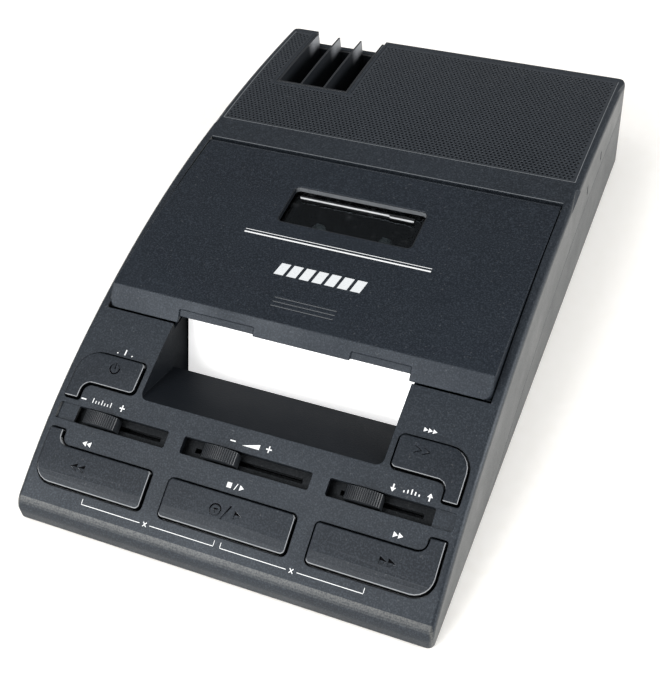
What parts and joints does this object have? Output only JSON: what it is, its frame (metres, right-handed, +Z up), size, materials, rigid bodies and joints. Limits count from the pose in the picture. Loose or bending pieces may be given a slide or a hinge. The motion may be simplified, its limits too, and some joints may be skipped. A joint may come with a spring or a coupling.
{
  "type": "microcassette dictation machine",
  "caption": "Desktop dictation transcription machine with hinged tape lid, press keys, slider controls, speaker grille, cassette rack and tape drive inside.",
  "frame": {"origin": "on the table, below the middle of the case in plan", "axes": "+X to the user's right, +Y from the front keys to the back, +Z up"},
  "size_m": [0.165, 0.274, 0.0508],
  "materials": {
    "case_plastic": "fine-grained dark slate plastic",
    "base_plastic": "plain dark slate plastic",
    "grille_metal": "dark paint on perforated sheet",
    "button_plastic": "fine-grained dark plastic",
    "knob_plastic": "satin dark plastic",
    "window_plastic": "clear moulded plastic",
    "card_stock": "plain white card",
    "pale_plastic": "off-white acetal",
    "black_plastic": "black moulded plastic",
    "slide_control_metal": "pressed steel",
    "spring_steel": "bright spring steel",
    "lever_plastic": "grey moulded plastic",
    "brass_parts": "turned brass",
    "black_rubber": "black rubber",
    "board_laminate": "green coated circuit board",
    "capacitor_sleeve": "dark blue sleeve",
    "speaker_steel": "dark painted steel",
    "cone_paper": "dark paper pulp"
  },
  "bodies": {
    "case": {"top_shell": "case_plastic", "base_shell": "base_plastic", "speaker_grille": "grille_metal", "cassette_rack": "case_plastic", "card_well_back": "case_plastic", "index_card": "card_stock", "hinge_pins": "spring_steel", "lid_catch": "slide_control_metal", "deck_plate": "base_plastic", "deck_chassis": "slide_control_metal", "capstan_bearing": "brass_parts", "flywheel_bracket": "slide_control_metal", "motor": "slide_control_metal", "drive_belt": "black_rubber", "slot_shields": "black_plastic", "slide_controls": "slide_control_metal", "key_switches": "black_plastic", "control_board": "board_laminate", "main_board": "board_laminate", "board_chips": "black_plastic", "capacitors": "capacitor_sleeve", "ribbon_sockets": "pale_plastic", "speaker_basket": "speaker_steel", "speaker_cone": "cone_paper", "speaker_magnet": "speaker_steel", "power_socket": "black_plastic", "phone_socket": "black_plastic", "pedal_socket": "black_plastic", "rubber_feet": "black_rubber", "case_screws": "spring_steel"},
    "lid_body": {"lid": "case_plastic", "lid_window": "window_plastic", "cassette_springs": "spring_steel"},
    "power_key": {"power_button": "button_plastic"},
    "search_key": {"search_button": "button_plastic"},
    "rewind_key": {"rewind_button": "button_plastic"},
    "play_key": {"play_button": "button_plastic"},
    "wind_key": {"wind_button": "button_plastic"},
    "speed_slider": {"speed_knob": "knob_plastic", "speed_lever": "lever_plastic"},
    "volume_slider": {"volume_knob": "knob_plastic", "volume_lever": "lever_plastic"},
    "tone_slider": {"tone_knob": "knob_plastic", "tone_lever": "lever_plastic"},
    "supply_reel": {"supply_spindle": "pale_plastic"},
    "take_up_reel": {"take_up_spindle": "pale_plastic"},
    "idler": {"idler_wheel": "pale_plastic", "idler_tyre": "black_rubber"},
    "capstan_flywheel": {"capstan": "spring_steel", "flywheel": "brass_parts"},
    "motor_shaft": {"motor_pulley": "brass_parts"},
    "head_carriage": {"head_bridge": "slide_control_metal", "playback_head": "spring_steel", "erase_head": "black_plastic", "roller_axle": "spring_steel"},
    "pressure_roller": {"pinch_roller": "black_rubber"}
  },
  "joints": [
    {"name": "lid_hinge", "type": "hinge", "parent": "case", "child": "lid_body", "pos_m": [0, 0.0361, 0.0485], "axis": [-1, 0, 0], "range_deg": [0, 80]},
    {"name": "power_press", "type": "slide", "parent": "case", "child": "power_key", "axis": [0, 0.3746, -0.9272], "range_m": [0, 0.0012], "stiffness_N_per_m": 250, "springref_m": -0.002},
    {"name": "search_press", "type": "slide", "parent": "case", "child": "search_key", "axis": [0, 0.3746, -0.9272], "range_m": [0, 0.0012], "stiffness_N_per_m": 250, "springref_m": -0.002},
    {"name": "rewind_press", "type": "slide", "parent": "case", "child": "rewind_key", "axis": [0, 0.3746, -0.9272], "range_m": [0, 0.0012], "stiffness_N_per_m": 250, "springref_m": -0.002},
    {"name": "play_press", "type": "slide", "parent": "case", "child": "play_key", "axis": [0, 0.3746, -0.9272], "range_m": [0, 0.0012], "stiffness_N_per_m": 250, "springref_m": -0.002},
    {"name": "wind_press", "type": "slide", "parent": "case", "child": "wind_key", "axis": [0, 0.3746, -0.9272], "range_m": [0, 0.0012], "stiffness_N_per_m": 250, "springref_m": -0.002},
    {"name": "speed_slide", "type": "slide", "parent": "case", "child": "speed_slider", "axis": [1, 0, 0], "range_m": [-0.0042, 0.0211]},
    {"name": "volume_slide", "type": "slide", "parent": "case", "child": "volume_slider", "axis": [1, 0, 0], "range_m": [-0.0086, 0.0288]},
    {"name": "tone_slide", "type": "slide", "parent": "case", "child": "tone_slider", "axis": [1, 0, 0], "range_m": [-0.0067, 0.0186]},
    {"name": "supply_spin", "type": "hinge", "parent": "case", "child": "supply_reel", "pos_m": [-0.0145, 0.0056, 0.03], "axis": [0, 0, 1], "continuous": true},
    {"name": "take_up_spin", "type": "hinge", "parent": "case", "child": "take_up_reel", "pos_m": [0.0145, 0.0056, 0.03], "axis": [0, 0, 1], "continuous": true},
    {"name": "idler_spin", "type": "hinge", "parent": "case", "child": "idler", "pos_m": [0, 0.01494, 0.03], "axis": [0, 0, 1], "continuous": true},
    {"name": "capstan_spin", "type": "hinge", "parent": "case", "child": "capstan_flywheel", "pos_m": [0.012, -0.009, 0.012], "axis": [0, 0, 1], "continuous": true},
    {"name": "motor_spin", "type": "hinge", "parent": "case", "child": "motor_shaft", "pos_m": [-0.035, -0.012, 0.012], "axis": [0, 0, 1], "continuous": true},
    {"name": "head_slide", "type": "slide", "parent": "case", "child": "head_carriage", "axis": [0, 1, 0], "range_m": [0, 0.004]},
    {"name": "roller_spin", "type": "hinge", "parent": "head_carriage", "child": "pressure_roller", "pos_m": [0.0125, -0.018, 0.037], "axis": [0, 0, 1], "continuous": true}
  ],
  "couplings": [
    {"joint": "take_up_spin", "follows": "supply_spin", "ratio": 1},
    {"joint": "idler_spin", "follows": "supply_spin", "ratio": -2.4},
    {"joint": "motor_spin", "follows": "capstan_spin", "ratio": 7.2}
  ]
}
